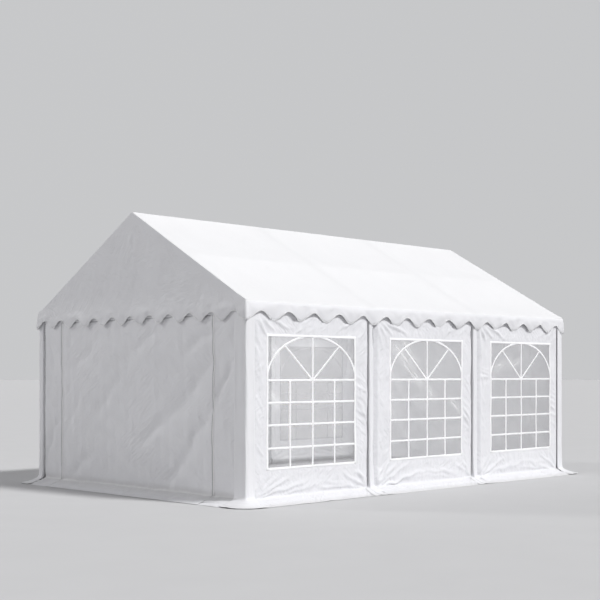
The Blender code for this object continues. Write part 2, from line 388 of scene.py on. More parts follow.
def sewn_strip(name, colour, stitch_line, roughness):
    """A strip with a row of stitches at a distance down its flat pattern. The stitches are
    a wave along the strip, raised in a groove where the distance from their line is small."""
    material, shade, surface = start_material(name, Roughness=roughness)
    flat = shade.make("UVMap", uv_map="cloth")
    at = shade.make("TexCoord", output=3)
    near = shade.math("ABSOLUTE", flat.axis(1) - stitch_line)
    wave = shade.math("SINE", flat.axis(0) * (math.tau / STITCH)).between(-0.3, 0.3)
    thread = (1 - near.between(0.0006, 0.0012)) * wave
    groove = 1 - near.between(0.001, 0.0025)
    uneven = shade.noise(at, 30.0, 3.0)
    normal = shade.bump(uneven, 0.0006)
    normal = shade.bump(thread - groove, 0.0004, 1.0, normal)
    feed(surface, "Normal", normal)
    # Painted shade darkens the stitches' groove, and the strip's tone also varies at random.
    groove_shade_and_tone = groove * 0.6 + uneven * 0.3
    feed(surface, "Base Color", shade.mix(groove_shade_and_tone, tinted(colour, 1), tinted(colour, STRIP_SHADE_AND_TONE)))
    return material


hem_cloth = sewn_strip("hem_cloth", (0.86, 0.86, 0.865), 0.006, 0.45)
window_strip = sewn_strip("window_strip", (0.99, 0.99, 1.0), 0.004, 0.35)
zip_coil = sewn_strip("zip_coil", (0.42, 0.42, 0.43), 0.004, 0.6)
# A black strip of painted shade, set at the back of the slits beside the legs.
slit_shade_strip = sewn_strip("slit_shade_strip", (0.03, 0.03, 0.034), 0.03, 0.9)
print("trims", hem_cloth.name, window_strip.name, zip_coil.name, slit_shade_strip.name)

# %% [markdown]
# ## Clear window film
# The windows are soft clear film, slightly grey and never flat. Glass would bend the
# light, but thin film hardly does, so a part of the light simply passes: its see-through
# share is one fixed alpha. The glints that the film's creases would catch are painted: its
# colour turns white along them, as painted reflection. Each window's mesh carries how much
# of this painted reflection each point gets, plus for falling creases and minus for rising
# ones, and the fine strokes of whiteness follow it.

# %% Film material
FILM_RISING = -20
FILM_GREY = (0.62, 0.62, 0.635, 1)
FILM_GLINT = (1.0, 1.0, 1.0, 1)

clear_film, shade, surface = start_material("clear_film", Roughness=0.16, Alpha=0.28)
at = shade.make("TexCoord", output=3)
flat = shade.make("UVMap", uv_map="cloth")
crease_glint = shade.make("Attribute", output=2, attribute_name="crease_glint")
falling = strokes(flat, 30.0, FALLING, 8.0)
rising = strokes(flat, 30.0, FILM_RISING, 8.0)
ripple = strokes(flat, 5.0, FALLING, 3.0)
squiggle = ridged(flat, 9.0, FALLING, 6.0) * shade.noise(at, 2.0, 1.0).between(0.45, 0.7)
feed(surface, "Normal", shade.bump(falling, 0.0012, 1.0, shade.bump(ripple, 0.008)))
# Painted reflection: the film's colour turns white along its creases, for the glints they would catch.
glint_falling = shade.math("MAXIMUM", crease_glint, 0.0) * falling
glint_rising = shade.math("MINIMUM", crease_glint, 0.0) * rising
painted_glint = (glint_falling - glint_rising) * 1.5 + squiggle * 0.3 + ripple * 0.1
feed(surface, "Base Color", shade.mix(painted_glint, FILM_GREY, FILM_GLINT))
feed(surface, "Roughness", falling * 0.12 + 0.12)
print("film", clear_film.name)

# %% [markdown]
# ## Galvanised tube
# Hot-dip zinc shows as a mosaic of dull crystals, each a slightly different grey, with
# a soft shine. Noise alone would look like rust or cloud. Cells of a Voronoi pattern
# about a centimetre wide have the crystals' straight borders.

# %% Zinc material
DARK_CRYSTAL = (0.55, 0.56, 0.57, 1)
LIGHT_CRYSTAL = (0.70, 0.71, 0.72, 1)
TUBES = ("roof_truss", "leg_", "ridge_", "purlin_", "eave_", "tie_")

zinc, shade, surface = start_material("zinc", Metallic=1.0)
at = shade.make("TexCoord", output=3)
crystal = shade.make("TexVoronoi", {"Vector": at, "Scale": 90.0}, output=1)
grey = shade.make("SeparateColor", {"Color": crystal})
stain = shade.noise(at, 6.0, 4.0)
feed(surface, "Base Color", shade.mix(grey, DARK_CRYSTAL, LIGHT_CRYSTAL))
feed(surface, "Roughness", grey * 0.15 + stain * 0.2 + 0.25)
feed(surface, "Normal", shade.bump(stain, 0.0004))
tube_count = 0
for name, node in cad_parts.items():
    if name.startswith(TUBES):
        node.data.materials.clear()
        node.data.materials.append(zinc)
        tube_count += 1
print("pieces of zinc-coated tube", tube_count)

# %% [markdown]
# ## How cloth folds
# Long creases are bell curves across a line, and a smooth random field is a sum of a
# few sine waves in random directions. A simulation would find folds of its own. These
# put each crease where it is wanted. Both take whole arrays of places.


# %% Fold functions
def soft_part(value, bend):
    """The positive part of a value, with its corner rounded over the bend: half the sum of
    the value and the root of its square and the bend's square."""
    return (value + np.sqrt(value**2 + bend**2)) / 2


def rise(value, low, high):
    """0 below the low value, 1 above the high one, and a smooth S between them."""
    share = np.clip((value - low) / (high - low), 0, 1)
    return share * share * (3 - 2 * share)


def wander(along, down, seed, size, count=7):
    """A smooth random field about one unit high: a sum of sine waves in random directions,
    with lengths around the size."""
    draw = np.random.default_rng(seed)
    turn, phase = draw.uniform(0, math.tau, (2, count))
    length = size * draw.uniform(0.6, 1.6, count)
    run = along[..., None] * np.cos(turn) + down[..., None] * np.sin(turn)
    return np.sin(math.tau * run / length + phase).sum(-1) / math.sqrt(count / 2)


def creases(along, down, marks):
    """Long creases. Each mark is a start, an end, a width and a depth, and its shape is a
    bell curve of the distance from its line, which fades towards both ends."""
    marks = np.asarray(marks, float)
    start, end, width, depth = marks[:, 0:2], marks[:, 2:4], marks[:, 4], marks[:, 5]
    line = end - start
    length = np.hypot(line[:, 0], line[:, 1])
    step = np.stack([along, down], -1)[..., None, :] - start
    share = (step * line).sum(-1) / length**2
    aside = (step[..., 0] * line[:, 1] - step[..., 1] * line[:, 0]) / length
    fade = np.clip(4 * share * (1 - share), 0, 1)
    return (depth * fade * np.exp(-((aside / width) ** 2))).sum(-1)


# %% [markdown]
# ## The roof cover
# One continuous sheet lies over the tubes: two slopes, the valance that hangs from all
# four edges, and the gable triangles sewn to the slopes. It could be a box with bevelled
# edges. Here it is laid out sharp, as grids that share their edges, welded, then rounded:
# the distance to each of its six planes goes into one smooth maximum, and every point
# moves to where that is zero. The same sum rounds an edge and a corner alike. Cloth also
# sags a little between tubes, and shows each tube as a soft crease.

# %% Roof cover, rounding and sag
ROUNDING = 0.0042
PLANES = np.array(
    [
        [1, 0, 0, HALF_WIDTH],
        [-1, 0, 0, HALF_WIDTH],
        [0, 1, 0, HALF_LENGTH],
        [0, -1, 0, HALF_LENGTH],
        [math.sin(PITCH), 0, math.cos(PITCH), RIDGE * math.cos(PITCH)],
        [-math.sin(PITCH), 0, math.cos(PITCH), RIDGE * math.cos(PITCH)],
    ]
)


def rounded(places):
    """Places moved onto the rounded cover, and the cover's direction there. The smooth
    maximum of the distances is the rounding times the log of the sum of their powers."""
    for _ in range(3):
        gap = (places @ PLANES[:, :3].T - PLANES[:, 3]) / ROUNDING
        top = gap.max(-1, keepdims=True)
        power = np.exp(gap - top)
        level = ROUNDING * (top[..., 0] + np.log(power.sum(-1)))
        slope = (power / power.sum(-1, keepdims=True)) @ PLANES[:, :3]
        size = (slope**2).sum(-1)
        places = places - (level / size)[..., None] * slope
    return places, slope / np.sqrt(size)[..., None]


def bay_share(run):
    """How far a place is from one truss to the next, from 0 to 1."""
    bay = np.clip(np.searchsorted(TRUSSES, run) - 1, 0, 2)
    return np.clip((run - TRUSSES[bay]) / (TRUSSES[bay + 1] - TRUSSES[bay]), 0, 1)


PURLIN_GAP = 0.988
SAG = 0.022
EAVE_ROLL = 0.029
GABLE_ROLL = 0.028
ON_GABLE = 0.5


def slope_sag(x, y, z):
    """How far a slope sags: a parabola between purlins, flat at the trusses, with a slow
    unevenness where no tube is near."""
    part = np.abs(x) % PURLIN_GAP / PURLIN_GAP
    share = bay_share(y)
    sag = -SAG * 4 * part * (1 - part) * (1 - (2 * share - 1) ** 6)
    calm = rise(part * (1 - part), 0, 0.12) * rise(share * (1 - share), 0, 0.1)
    return (sag + 0.002 * wander(x, y, 4, 0.9) * calm) * rise(z, EAVE, EAVE + 0.05)


def gable_crumple(x, z):
    """How far a gable triangle stands out: three random fields, none near its sloping edge."""
    below = EAVE + (HALF_WIDTH - np.abs(x)) * SLOPE - z
    crumple = 0.003 * wander(x, z, 11, 0.45) + 0.0015 * wander(x * 1.5, z, 12, 0.17)
    crumple = crumple + 0.0008 * wander(x * 2.2, z * 0.7, 13, 0.25)
    return crumple * rise(below, 0.06, 0.2)


def cover_relief(places):
    """How far the cover stands off its rounded shape: it sags between tubes on the slopes,
    crumples on the gables, and rolls over the eave tube before it hangs straight."""
    x, y, z = places[..., 0], places[..., 1], places[..., 2]
    hang = np.clip(EAVE - z, 0, None)
    on_gable = rise(np.abs(y), HALF_LENGTH - 0.03, HALF_LENGTH - 0.005)
    swing = EAVE_ROLL * (1 - np.exp(-hang / 0.011)) + 0.14 * hang - 1.15 * hang**2
    swing = swing * (0.5 + 0.5 * rise(HALF_LENGTH - np.abs(y), 0, 0.5))
    gable_swing = GABLE_ROLL * (1 - rise(z, EAVE - 0.15, EAVE + 0.12))
    swing = (1 - on_gable) * swing + on_gable * gable_swing
    run = np.where(on_gable > ON_GABLE, x, y)
    ripple = 0.0050 * wander(run, hang * 0.7, 21, 0.22) + 0.0022 * wander(run, hang, 22, 0.1)
    corner = rise(HALF_WIDTH - np.abs(x), 0, 0.15) + rise(HALF_LENGTH - np.abs(y), 0, 0.15)
    ripple = ripple * rise(hang, 0.01, 0.09) * np.clip(corner, 0, 1)
    flat_part = (1 - on_gable) * slope_sag(x, y, z) + on_gable * gable_crumple(x, z)
    return flat_part + swing + ripple


def settled(places, proud=0.0):
    """Places laid onto the finished cover, standing proud of it by a small height."""
    shape, outward = rounded(places)
    relief = cover_relief(places) + proud
    return shape + outward * relief[..., None]


# %% [markdown]
# ### The cover's grids
# Even stations fine enough for the bends would make ten times as many faces. So stations
# are three centimetres apart, and crowd together beside the ridge, the eaves and the
# gable edges, where the cloth bends. The valance's lower edge is a cosine wave, with
# fifteen waves along each side and eleven across each gable, and its lowest points at
# the corners.

# %% Roof cover, grids
CLOSE_STEPS = (0.005, 0.011, 0.019)
LEAST_GAP = 0.0035


def stations(half, step, bends):
    """Places from minus half to half, a step apart, with extra ones at three distances either
    side of each bend. One that lies too close to its neighbour is left out."""
    even = np.linspace(-half, half, 2 * round(half / step) + 1)
    beside = np.array([close * way for close in CLOSE_STEPS for way in (1, -1)])
    extra = (np.array(bends)[:, None] + beside).ravel()
    every = np.unique(np.round(np.concatenate([even, extra[np.abs(extra) < half]]), 5))
    kept = np.concatenate([[True], np.diff(every) > LEAST_GAP])
    kept[-1] = True
    return every[kept]


def wave_height(run, half, waves):
    """Height of the valance's edge: a cosine wave, with its tips at the corners."""
    return VALANCE_MIDDLE - VALANCE_SWING * np.cos(math.tau * (run + half) * waves / (2 * half))


across = stations(HALF_WIDTH, 0.0303, [0.0, -HALF_WIDTH, HALF_WIDTH])
along = stations(HALF_LENGTH, 0.0316, [-HALF_LENGTH, HALF_LENGTH])
hang_shares = np.array([0, 0.03, 0.07, 0.12, 0.22, 0.34, 0.47, 0.6, 0.73, 0.87, 1.0])


def slope_grid():
    """Both slopes: rows run along the tent, from one eave over the ridge to the other."""
    x, y = np.meshgrid(across, along[::-1], indexing="ij")
    z = RIDGE - np.abs(x) * SLOPE
    return np.stack([x, y, z], -1), np.stack([y, (HALF_WIDTH - x) / math.cos(PITCH)], -1)


def side_face(way, run, height):
    """Places on the face over the right side walls, or over the left ones for minus one."""
    return np.stack([np.full(height.shape, way * HALF_WIDTH), run, height], -1)


def end_face(way, run, height):
    """Places on the front gable's face, or on the back one's for minus one."""
    return np.stack([run, np.full(height.shape, -way * HALF_LENGTH), height], -1)


VALANCES = [
    (side_face, along, HALF_LENGTH, SIDE_WAVES),
    (end_face, across, HALF_WIDTH, GABLE_WAVES),
]


def valance_grid(face, way, run, half, waves):
    """A valance: rows from the eave down to the wavy edge."""
    edge = EAVE - wave_height(run, half, waves)
    drop = hang_shares[:, None] * edge
    runs = np.broadcast_to(run, drop.shape)
    return face(way, runs, EAVE - drop), np.stack([runs, drop], -1)


def gable_grid(way):
    """A gable triangle: rows run parallel to the slopes' edges, and stop at the eave's height."""
    depths = np.concatenate([[0, 0.006, 0.013, 0.022], np.linspace(0.06, RIDGE - EAVE, 26)])
    x = np.broadcast_to(across * way, (len(depths), len(across)))
    top = RIDGE - np.abs(x) * SLOPE
    z = np.maximum(top - depths[:, None], EAVE)
    return end_face(way, x, z), np.stack([x, top - z], -1)


parts = [slope_grid()]
for way in (1, -1):
    parts += [valance_grid(face, way, run * way, half, waves) for face, run, half, waves in VALANCES]
    parts.append(gable_grid(way))
grids = [(place, flat, all_cells(place)) for place, flat in parts]

# %% [markdown]
# ### The cover's mesh
# The grids are welded into one mesh, and then every point is settled onto the finished
# shape. Its faces get three materials: the slopes' cloth, a greyer one on the gable ends,
# and the leg covers' cloth, also greyer than the slopes', on the side valances. Both greys
# are painted shade on what is one cloth. The direction a face looks in and its height tell
# which is which.

# %% Roof cover
WELD = 0.0004
CLOTH = 0.0006
END_FACING = 0.7
VALANCE_TOP = EAVE - 0.012

cover_mesh = grid_mesh("roof_cover", grids, weld=WELD)
sharp_places = np.empty(len(cover_mesh.vertices) * 3)
cover_mesh.vertices.foreach_get("co", sharp_places)
cover_mesh.vertices.foreach_set("co", settled(sharp_places.reshape(-1, 3)).ravel())
cover_mesh.update()
roof_cover = piece_of(cover_mesh, roof_cloth, CLOTH)
cover_mesh.materials.append(shaded_end_cloth)
cover_mesh.materials.append(cover_cloth)
facings = np.empty(len(cover_mesh.polygons) * 3)
cover_mesh.polygons.foreach_get("normal", facings)
centres = np.empty(len(cover_mesh.polygons) * 3)
cover_mesh.polygons.foreach_get("center", centres)
# Faces that look along the tent and the side valances get the greyer cloths: painted shade.
shaded_end = np.abs(facings.reshape(-1, 3)[:, 1]) > END_FACING
shaded_valance = ~shaded_end & (centres.reshape(-1, 3)[:, 2] < VALANCE_TOP)
cloth_numbers = shaded_end + 2 * shaded_valance
cover_mesh.polygons.foreach_set("material_index", cloth_numbers.astype(np.int32))
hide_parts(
    *[f"roof_slope_{s}" for s in ("left", "right")],
    *[f"side_valance_{s}" for s in ("left", "right")],
    *[f"roof_gable_{s}" for s in ("front", "back")],
)
print("roof cover faces", len(cover_mesh.polygons))

# %% [markdown]
# ### The valance's binding
# A narrow folded strip is sewn along the wavy edge. A curve with a flat profile could
# follow the edge, but it would have to be fitted to the ripples. This strip is laid out
# along the same wave and settled by the cover's own sums, one millimetre proud.

# %% Valance binding
BINDING_ROWS = (0.010, 0.0065, 0.003, -0.001)
BINDING_STEP = 0.014
BINDING_PROUD = 0.0012
BINDING = 0.0022


def binding_grid(face, way, half, waves):
    """A strip from ten millimetres above the wavy edge to one below it."""
    run = np.linspace(-half, half, round(half * 2 / BINDING_STEP)) * way
    edge = wave_height(run, half, waves)
    rows = np.array(BINDING_ROWS)[:, None] + edge
    runs = np.broadcast_to(run, rows.shape)
    place = settled(face(way, runs, rows), BINDING_PROUD)
    return place, np.stack([runs, BINDING_ROWS[0] + edge - rows], -1), all_cells(place)


grids = [binding_grid(face, way, half, waves) for way in (1, -1) for face, _, half, waves in VALANCES]
binding_mesh = grid_mesh("valance_binding", grids, weld=WELD)
valance_binding = piece_of(binding_mesh, hem_cloth, BINDING)
print("binding faces", len(binding_mesh.polygons))

# %% [markdown]
# ## Walls that hang and turn out over the ground
# Each wall is hung from the eave and its foot turns outward to a flap that lies on the
# ground. Each side could be modelled where it stands. Instead a wall is worked out in its
# own terms: how far along it, how far down it, and how far its cloth stands out. Then it
# is put in its place on one of the four sides. One path serves every wall: straight down,
# a soft turn, then out.

# %% Wall path and sides
SIDES = {
    "right": (HALF_WIDTH, np.array([1.0, 0, 0]), np.array([0, 1.0, 0])),
    "left": (HALF_WIDTH, np.array([-1.0, 0, 0]), np.array([0, -1.0, 0])),
    "front": (HALF_LENGTH, np.array([0, -1.0, 0]), np.array([1.0, 0, 0])),
    "back": (HALF_LENGTH, np.array([0, 1.0, 0]), np.array([-1.0, 0, 0])),
}
UP = np.array([0, 0, 1.0])
DROP = WALL_TOP - FOLD
FLAP_LIFT = 0.001


def hung(down, reach, bend=0.016):
    """The wall's path: how far out it is and how high. Past the fold it turns outward, and
    its height falls as a power of the share of the flap that is left."""
    past = down - DROP
    out = soft_part(past, bend)
    share = np.clip(out / reach, 0, 1)
    height = FOLD * (1 - share) ** 1.35 + (out - past) + FLAP_LIFT
    return out, np.where(past > 0, np.minimum(height, FOLD + bend), height), share


def on_side(side, run, out, height):
    """Places on a side of the tent, from the run along it, how far out and how high."""
    half, facing, right = SIDES[side]
    distance = half - WALL_IN + out
    level = distance[..., None] * facing + run[..., None] * right
    return level + height[..., None] * UP


def foot_reach(run, seed):
    """How far a flap reaches, which wavers a little along it."""
    return FLAP * (0.97 + 0.05 * wander(run, run * 0, seed, 0.5) + 0.015 * np.sin(run * 41))


def with_cuts(stations_of_wall, cuts):
    """The same stations, with the one nearest to each cut moved onto it."""
    for cut in cuts:
        stations_of_wall[np.argmin(np.abs(stations_of_wall - cut))] = cut
    return stations_of_wall


def wall_downs(step, cuts=()):
    """Stations down a wall, closer at the fold, with exact ones at the cuts."""
    wall = np.arange(0, DROP - 0.05, step)
    turn = np.arange(DROP - 0.05, DROP + 0.05, 0.009)
    flap = np.linspace(DROP + 0.05, DROP + 0.228, 12)
    return with_cuts(np.unique(np.round(np.concatenate([wall, turn, flap]), 5)), cuts)


def wall_runs(low, high, step, cuts=()):
    """Stations along a wall, with exact ones at the cuts."""
    return with_cuts(np.linspace(low, high, round((high - low) / step) + 1), cuts)


# %% [markdown]
# ### What a side wall's cloth does
# Between its two wrapped posts a panel is pulled tight by its window, so creases fan
# from its corners towards the window's corners. They could be sculpted, but then the film
# and its bars would have to be bent to match. The field below gives how far the cloth
# stands out at any place, and the wall, the film and the bars all use it. Runs along a
# side start from its middle. PANELS holds the two ends of each wall, and SLITS the dark
# gaps beside the legs and the last corner.

# %% Side wall relief
WINDOW_LOW = 0.38
WINDOW_HIGH = 1.82
WINDOW_HALF = 0.69
SLITS = (-1.081, 0.912, 2.865)
PANELS = [(-2.915, -1.094), (-0.976, 0.898), (1.020, 2.858)]


def fan(at, ends, width, depth):
    """Creases that spread from one place to several ends."""
    return [[*at, *end, width, depth] for end in ends]


def slanted(run, end, heights, fall, width, depth):
    """Parallel creases from one run to another, which fall by a length on their way."""
    return [[run, h, end, h - fall, width, depth] for h in heights]


def panel_marks(left, right, seed):
    """Creases of one panel: fans at its corners, and slanting ones beside the window. Each
    is then moved and deepened a little at random."""
    top_left = np.array([[0.09, 1.50], [0.13, 1.66], [0.21, 1.80], [0.36, 1.85], [0.62, 1.88]])
    low_left = np.array([[0.16, 0.33], [0.27, 0.36], [0.42, 0.35], [0.62, 0.31], [0.90, 0.25]])
    top_right = np.array([[-0.16, 1.74], [-0.30, 1.87], [-0.55, 1.89]])
    low_right = np.array([[-0.20, 0.33], [-0.42, 0.30], [-0.75, 0.22]])
    beside_right = (1.40, 1.31, 1.24, 1.17, 1.10, 1.02, 0.93, 0.82)
    beside_left = (1.46, 1.20, 0.98, 0.72)
    marks = fan((left - 0.01, 2.12), top_left + [left, 0], 0.016, 0.010)
    marks += fan((left - 0.04, 0.03), low_left + [left, 0], 0.015, 0.011)
    marks += fan((right + 0.02, 2.10), top_right + [right, 0], 0.016, 0.007)
    marks += fan((right + 0.02, 0.06), low_right + [right, 0], 0.016, 0.007)
    marks += slanted(right - 0.215, right + 0.01, beside_right, 0.17, 0.011, 0.005)
    marks += slanted(left + 0.03, left + 0.17, beside_left, 0.20, 0.012, 0.005)
    marks += slanted(left + 0.45, left + 1.10, (0.12, 0.16), -0.07, 0.014, 0.006)
    marks += slanted(left + 0.95, left + 1.60, (0.15, 0.22), 0.05, 0.014, 0.005)
    marks = np.array(marks)
    draw = np.random.default_rng(seed)
    marks[:, :4] += draw.uniform(-0.02, 0.02, (len(marks), 4))
    marks[:, 5] *= draw.uniform(0.5, 1.4, len(marks))
    return marks


LONG_CREASES = np.array(
    [
        [-2.90, 1.86, -2.76, 1.28, 0.016, 0.008],
        [-1.25, 1.045, -1.08, 0.855, 0.013, 0.008],
        [-1.37, 0.30, -1.07, 0.155, 0.015, 0.009],
        [0.69, 1.00, 0.90, 0.80, 0.013, 0.010],
        [0.69, 0.92, 0.90, 0.70, 0.013, 0.008],
        [1.06, 1.43, 1.32, 1.40, 0.014, 0.008],
        [1.06, 1.36, 1.30, 1.37, 0.014, 0.007],
        [1.06, 1.48, 1.30, 1.45, 0.012, 0.006],
    ]
)
SIDE_MARKS = [panel_marks(*ends, seed) for seed, ends in enumerate(PANELS)]
SIDE_MARKS = np.concatenate(SIDE_MARKS + [LONG_CREASES])
BAY = 2.0
CREASE_SHARE = 1.8
FILM_CALM = 0.3
print("creases on a side", len(SIDE_MARKS))


def side_relief(run, height):
    """How far a side wall stands out: soft waves, creases, and tight calm film in windows."""
    bent = run + 0.008 * wander(run, height, 31, 0.3)
    lifted = height + 0.008 * wander(run, height, 34, 0.25)
    field = CREASE_SHARE * creases(bent, lifted, SIDE_MARKS)
    field = field + 0.0035 * wander(run, height, 32, 0.7)
    field = field + 0.0010 * wander(run * 1.6, height, 33, 0.16)
    aside = np.abs(run - np.round(run / BAY) * BAY) - WINDOW_HALF
    above = np.maximum(WINDOW_LOW - height, height - WINDOW_HIGH)
    calm = FILM_CALM + (1 - FILM_CALM) * rise(np.maximum(aside, above), -0.03, 0.03)
    top = 1 - 0.9 * rise(height, 1.93, 2.06)
    corner = rise(run, -2.877, -2.855) * (1 - rise(run, 2.80, 2.86))
    return field * calm * top * corner + 0.0012


# %% [markdown]
# ### Side walls
# The wall stands on its relief, with four things of its own. Where it starts beside a leg
# it comes out of a valley and crests in a soft ridge. Where it ends it tucks in towards
# the slit. Over the fold it is drawn in a little, and its flap lies in low ripples. They
# could be modelled on each of the six walls by hand. As curves of the distance from an
# edge they are written once and stay alike.

# %% Side walls
SIDE_STEP = 0.0165
VALLEY = 0.0218
UNDERCUT = 0.008


def undercut(height, share):
    """How far cloth is drawn in over its fold: a bell curve of the height, none on the flap."""
    return UNDERCUT * np.exp(-(((height - 0.085) / 0.035) ** 2)) * (1 - share)


def flap_ripple(run, share, seed, size):
    """How far a flap lifts between its fold and its edge: a random field times a parabola."""
    return 0.004 * (1 + wander(run, share, seed, size)) * share * (1 - share) * 4


def start_hem(start, height):
    """The wall's start beside a leg: out of a valley, and over a ridge with a bell's shape."""
    ridge = 0.012 * np.exp(-(((start - 0.056) / 0.020) ** 2)) * (1.15 - 0.25 * height)
    return ridge - VALLEY * (1 - rise(start, 0.002, 0.046))


def side_panel(side, index):
    """One side wall with its window's opening. The first one starts under a corner cover, so
    only the others have a hem at their start."""
    low, high = PANELS[index]
    middle = (index - 1) * BAY
    runs = wall_runs(low, high, SIDE_STEP, (middle - WINDOW_HALF, middle + WINDOW_HALF))
    downs = wall_downs(SIDE_STEP, (WALL_TOP - WINDOW_HIGH, WALL_TOP - WINDOW_LOW))
    run, down = np.meshgrid(runs, downs)
    out, height, share = hung(down, foot_reach(run, 40 + index))
    start = run - low
    end = high - run
    relief = side_relief(run, height) * (1 - 0.8 * share)
    tuck = -0.003 * (1 - rise(end, 0.0, 0.05)) - 0.006 * (1 - rise(end, 0.0, 0.010))
    lift = 0.002 * share
    hem = 0
    if index:
        own = rise(start, 0.02, 0.09)
        relief = relief * own + 0.0016 * (1 - own)
        hem = start_hem(start, height)
        lift = 0.007 * np.exp(-start / 0.06) * share
    on_wall = (1 - rise(share, 0.0, 0.15)) * (1 - rise(height, 1.98, 2.08))
    relief = relief + (hem + tuck) * on_wall - undercut(height, share)
    ripple = flap_ripple(run, share, 50 + index, 0.35)
    place = on_side(side, run, out + relief, height + ripple + lift)
    cell_run = (runs[:-1] + runs[1:]) / 2
    cell_height = WALL_TOP - (downs[:-1] + downs[1:]) / 2
    open_run = np.abs(cell_run - middle) < WINDOW_HALF
    open_height = (cell_height > WINDOW_LOW) & (cell_height < WINDOW_HIGH)
    kept = ~(open_height[:, None] & open_run)
    name = f"side_wall_cloth_{side}_{index + 1}"
    return grid_mesh(name, [(place, np.stack([run, down], -1), kept)])


def tube_order(side, index):
    """The number that the frame gives to a bay of this side: it counts from the front."""
    return index + 1 if side == "right" else 3 - index


side_walls = {}
for side in ("right", "left"):
    for index in range(len(PANELS)):
        piece = piece_of(side_panel(side, index), wall_cloth, CLOTH)
        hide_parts(f"side_wall_{side}_{tube_order(side, index)}")
        side_walls[side, index] = piece
print("side walls", len(side_walls))

# %% [markdown]
# ### Windows: film, border, arch and bars
# Each window is clear film with white strips on it: a border, one bar at the springing
# of the arch, three below it, three uprights, a half ellipse and two spokes. The bars
# could be printed on the film as a picture, but strips of real thickness catch the light.
# A strip is carried along a path in the wall's plane: its places are the path's, moved to
# either side, and then laid on the wall's relief.

# %% Window strips
SPRING = 1.334
ARCH_HALF = 0.695
ARCH_RISE = WINDOW_HIGH - SPRING
CROSSBARS = (SPRING, 1.091, 0.849, 0.599)
UPRIGHTS = (-0.351, 0.351)
SPOKE_SHARE = 0.62
BAR = 0.024
SPOKE = 0.022
BORDER = 0.028
BORDER_LAP = 0.012


def strip_grid(side, path, width, proud):
    """A flat strip along a path of runs and heights, laid a little proud of the wall."""
    turn = np.gradient(path, axis=0)
    turn = turn / np.linalg.norm(turn, axis=1, keepdims=True)
    aside = np.stack([-turn[:, 1], turn[:, 0]], -1)
    steps = np.linspace(width / 2, -width / 2, 4)
    local = path[None] + aside[None] * steps[:, None, None]
    run, height = local[..., 0], local[..., 1]
    place = on_side(side, run, side_relief(run, height) + proud, height)
    length = np.concatenate([[0], np.cumsum(np.linalg.norm(np.diff(path, axis=0), axis=1))])
    flat = np.stack(np.broadcast_arrays(length[None], (width / 2 - steps)[:, None]), -1)
    return place, flat, all_cells(place)


def window_paths(middle):
    """The strips of one window: path, width, and how proud it lies. Strips that cross lie at
    different heights, so that no two surfaces share a place."""
    low, high = WINDOW_LOW, WINDOW_HIGH
    left, right = middle - WINDOW_HALF, middle + WINDOW_HALF
    turn = np.linspace(math.pi, 0, 72)
    arch = np.stack([middle + ARCH_HALF * np.cos(turn), SPRING + ARCH_RISE * np.sin(turn)], -1)
    paths = [(np.linspace((left, h), (right, h), 40), BAR, -0.0002) for h in CROSSBARS]
    paths.append((np.linspace((middle, high), (middle, low), 60), BAR, 0.0002))
    for x in UPRIGHTS:
        paths.append((np.linspace((middle + x, SPRING), (middle + x, low), 40), BAR, 0.0002))
    paths.append((arch, BAR, 0.0006))
    spoke_top = SPRING + ARCH_RISE * math.sqrt(1 - SPOKE_SHARE**2)
    for way in (-1, 1):
        end = (middle + way * SPOKE_SHARE * ARCH_HALF, spoke_top)
        paths.append((np.linspace((middle, SPRING), end, 24), SPOKE, -0.0006))
    for h in (low, high):
        ends = (left - BORDER_LAP, h), (right + BORDER_LAP, h)
        paths.append((np.linspace(*ends, 70), BORDER, 0.0010))
    for x in (left, right):
        ends = (x, high + BORDER_LAP), (x, low - BORDER_LAP)
        paths.append((np.linspace(*ends, 70), BORDER, 0.0014))
    return paths


# %% [markdown]
# ### The film
# The film is lapped under the edges of the wall's opening, so it is a little larger than
# the opening and lies just behind it. A flat pane would do, but it would part from the
# wavy cloth round it, so it uses the wall's relief, which is calm there. The list below
# says where the film's creases get painted reflection. Each row is a line with a width, as
# for creases, and its last number is plus where whiteness falls to the right and minus
# where it rises.

# %% Windows
FILM_LAP = 0.014
FILM_BACK = 0.0013
FILM = 0.0005
FILM_MARKS = np.array(
    [
        [-0.70, 1.84, -0.05, 1.20, 0.060, 1.1],
        [-0.50, 1.84, -0.16, 1.50, 0.050, 0.9],
        [-0.16, 1.34, 0.20, 1.06, 0.060, 0.9],
        [0.40, 1.14, 0.70, 0.88, 0.050, 0.9],
        [1.28, 1.42, 1.85, 1.62, 0.050, -1.0],
        [1.62, 1.46, 2.10, 1.62, 0.040, -0.8],
        [2.20, 0.62, 2.62, 0.40, 0.050, 0.4],
        [-2.70, 1.84, -2.44, 1.46, 0.060, 0.7],
        [-2.70, 1.30, -2.52, 1.02, 0.050, 0.6],
        [-2.66, 0.66, -2.26, 0.42, 0.060, 0.5],
        [-1.66, 0.44, -1.32, 0.70, 0.050, -0.6],
        [-2.30, 1.72, -1.75, 1.70, 0.040, -0.5],
    ]
)


def film_mesh(side, index):
    """Clear film behind the wall's opening, lapped under its edges."""
    middle = (index - 1) * BAY
    reach = WINDOW_HALF + FILM_LAP
    runs = np.linspace(middle - reach, middle + reach, 64)
    heights = np.linspace(WINDOW_HIGH + FILM_LAP, WINDOW_LOW - FILM_LAP, 66)
    run, height = np.meshgrid(runs, heights)
    place = on_side(side, run, side_relief(run, height) - FILM_BACK, height)
    flat = np.stack([run, WINDOW_HIGH - height], -1)
    mesh = grid_mesh(f"window_{side}_{index + 1}", [(place, flat, all_cells(place))])
    # How much painted reflection each point of the film gets.
    glint_share = np.clip(creases(run, height, FILM_MARKS), -1, 1)
    crease_glint = mesh.attributes.new("crease_glint", "FLOAT", "POINT")
    crease_glint.data.foreach_set("value", glint_share.ravel().astype(np.float32))
    return mesh


